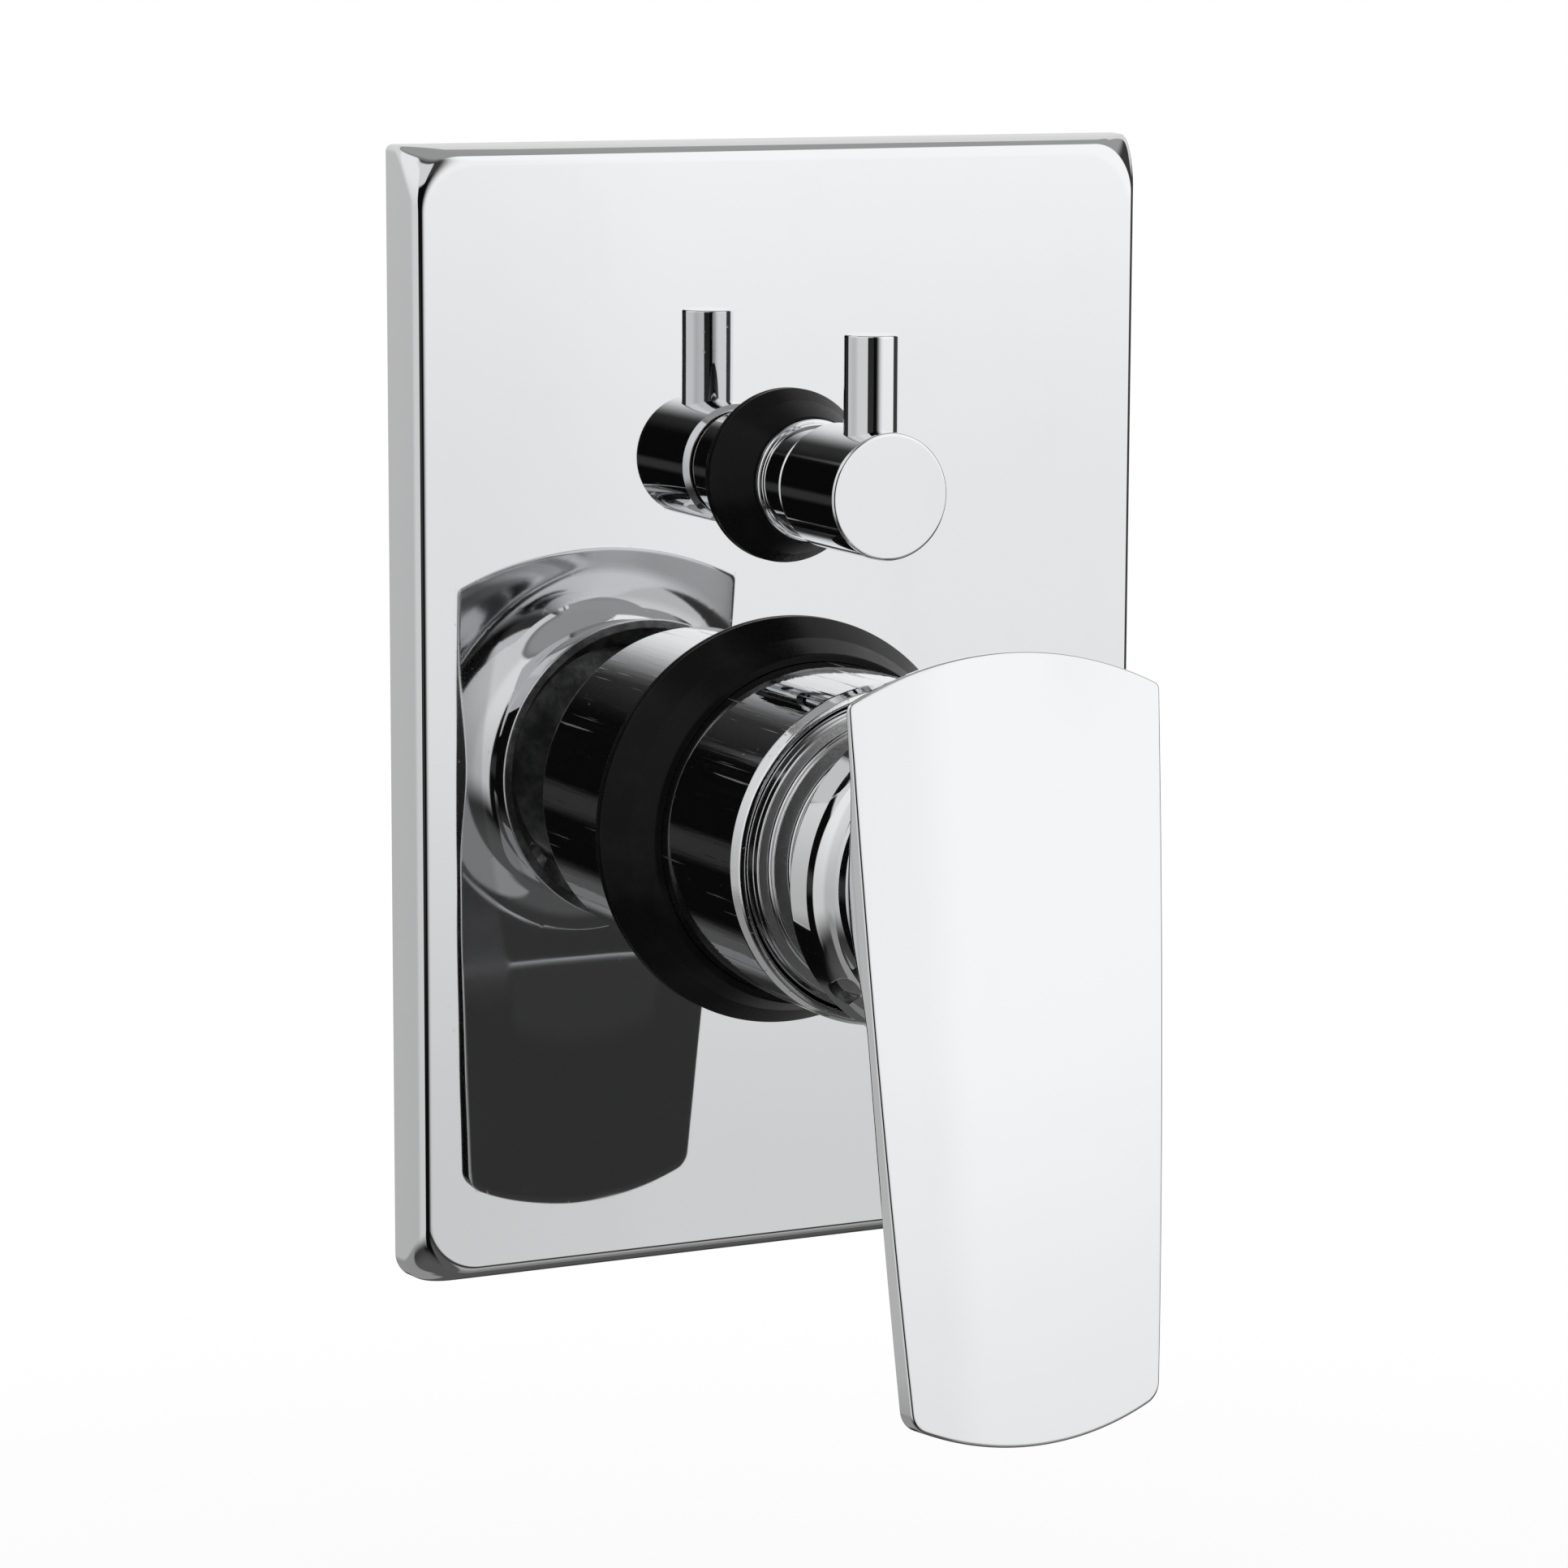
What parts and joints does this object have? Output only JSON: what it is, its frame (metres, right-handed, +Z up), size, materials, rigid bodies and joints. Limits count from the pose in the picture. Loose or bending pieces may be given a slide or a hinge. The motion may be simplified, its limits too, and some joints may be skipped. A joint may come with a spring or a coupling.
{
  "type": "concealed single lever mixer with diverter",
  "caption": "In-wall single lever mixer with a turning diverter: rectangular cover plate, round sleeve, wide tapered lever on a round cup, and a knob with a pin.",
  "frame": {"origin": "middle of the cover plate's back rim, on the finished wall's face", "axes": "+Z up, -Y out of the wall towards the user, +Y into the wall, +X to the user's right"},
  "size_m": [0.144, 0.1499, 0.212],
  "materials": {
    "chrome": "polished",
    "black_rubber": "matte",
    "raw_brass": "satin",
    "steel": "satin",
    "cartridge_plastic": "satin",
    "ceramic_disc": "satin",
    "foam": "matte"
  },
  "bodies": {
    "valve": {"wall_plate": "chrome", "wall_gasket": "foam", "mixer_seal_ring": "black_rubber", "diverter_seal_ring": "black_rubber", "mixer_sleeve": "chrome", "sleeve_o_ring": "black_rubber", "bonnet_ring": "chrome", "cartridge_nut": "raw_brass", "valve_body": "raw_brass", "cartridge_base": "cartridge_plastic", "cartridge_seals": "black_rubber", "cartridge_housing": "cartridge_plastic", "fixed_disc": "ceramic_disc", "diverter_collar": "chrome", "collar_o_ring": "black_rubber", "diverter_headwork": "raw_brass", "diverter_seat_seal": "black_rubber", "diverter_fixed_disc": "ceramic_disc"},
    "mixer_rotor": {"spindle_guide": "cartridge_plastic", "pivot_pin": "steel"},
    "lever": {"lever_handle": "chrome", "lever_spindle": "steel", "lever_grub_screw": "steel"},
    "disc_slider": {"disc_carrier": "cartridge_plastic", "moving_disc": "ceramic_disc"},
    "diverter_rotor": {"diverter_knob": "chrome", "diverter_pin": "chrome", "knob_grub_screw": "steel", "diverter_spindle": "raw_brass", "diverter_spindle_o_ring": "black_rubber", "diverter_circlip": "steel", "diverter_moving_disc": "ceramic_disc"}
  },
  "joints": [
    {"name": "temperature_swivel", "type": "hinge", "parent": "valve", "child": "mixer_rotor", "pos_m": [0, -0.052, -0.021], "axis": [0, -1, 0], "range_deg": [-45, 45]},
    {"name": "flow_tilt", "type": "hinge", "parent": "mixer_rotor", "child": "lever", "pos_m": [0, -0.052, -0.021], "axis": [-1, 0, 0], "range_deg": [0, 24]},
    {"name": "disc_slide", "type": "slide", "parent": "mixer_rotor", "child": "disc_slider", "axis": [0, 0, -1], "range_m": [0, 0.0047]},
    {"name": "diverter_turn", "type": "hinge", "parent": "valve", "child": "diverter_rotor", "pos_m": [0, -0.04, 0.041], "axis": [0, -1, 0], "range_deg": [-90, 90]}
  ],
  "couplings": [
    {"joint": "disc_slide", "follows": "flow_tilt", "m_per_rad": 0.011}
  ]
}
